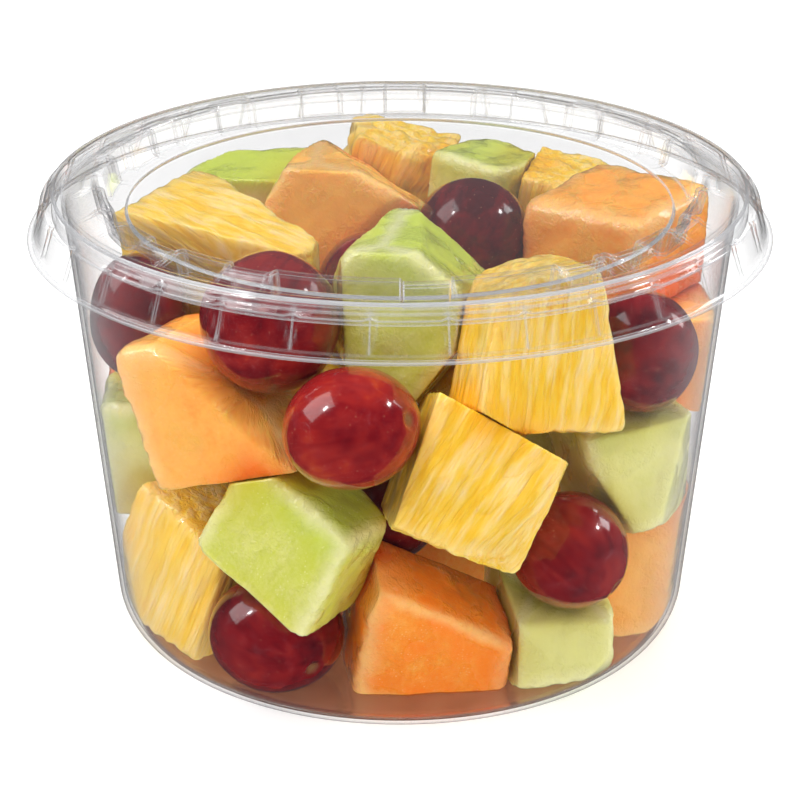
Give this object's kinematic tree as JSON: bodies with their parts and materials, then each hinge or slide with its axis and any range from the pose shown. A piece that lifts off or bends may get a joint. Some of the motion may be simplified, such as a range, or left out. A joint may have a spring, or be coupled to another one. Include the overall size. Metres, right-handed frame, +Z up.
{
  "type": "fruit salad",
  "caption": "Fruit salad of melon and pineapple chunks with red grapes in a clear round deli tub, its ribbed clip-on lid closed.",
  "frame": {"origin": "middle of the tub's flat underside, on the ground", "axes": "+Z up through the middle of the tub and lid, -Y towards the front"},
  "size_m": [0.146, 0.146, 0.094],
  "materials": {
    "clear_plastic": "clear, glossy, moulded thin sheet",
    "cantaloupe_flesh": "cut melon flesh, wet satin",
    "honeydew_flesh": "cut melon flesh, wet satin",
    "pineapple_flesh": "cut pineapple flesh with fibres, wet satin",
    "grape_skin": "dark red skin, glossy"
  },
  "bodies": {
    "root": {"tub": "clear_plastic", "lid": "clear_plastic", "cantaloupe_01": "cantaloupe_flesh", "cantaloupe_02": "cantaloupe_flesh", "cantaloupe_03": "cantaloupe_flesh", "cantaloupe_04": "cantaloupe_flesh", "cantaloupe_05": "cantaloupe_flesh", "cantaloupe_06": "cantaloupe_flesh", "cantaloupe_07": "cantaloupe_flesh", "cantaloupe_08": "cantaloupe_flesh", "cantaloupe_09": "cantaloupe_flesh", "cantaloupe_10": "cantaloupe_flesh", "cantaloupe_11": "cantaloupe_flesh", "grape_01": "grape_skin", "grape_02": "grape_skin", "grape_03": "grape_skin", "grape_04": "grape_skin", "grape_05": "grape_skin", "grape_06": "grape_skin", "grape_07": "grape_skin", "grape_08": "grape_skin", "grape_09": "grape_skin", "grape_10": "grape_skin", "grape_11": "grape_skin", "grape_12": "grape_skin", "honeydew_01": "honeydew_flesh", "honeydew_02": "honeydew_flesh", "honeydew_03": "honeydew_flesh", "honeydew_04": "honeydew_flesh", "honeydew_05": "honeydew_flesh", "honeydew_06": "honeydew_flesh", "honeydew_07": "honeydew_flesh", "honeydew_08": "honeydew_flesh", "honeydew_09": "honeydew_flesh", "honeydew_10": "honeydew_flesh", "honeydew_11": "honeydew_flesh", "pineapple_01": "pineapple_flesh", "pineapple_02": "pineapple_flesh", "pineapple_03": "pineapple_flesh", "pineapple_04": "pineapple_flesh", "pineapple_05": "pineapple_flesh", "pineapple_06": "pineapple_flesh", "pineapple_07": "pineapple_flesh", "pineapple_08": "pineapple_flesh", "pineapple_09": "pineapple_flesh", "pineapple_10": "pineapple_flesh"}
  },
  "joints": []
}
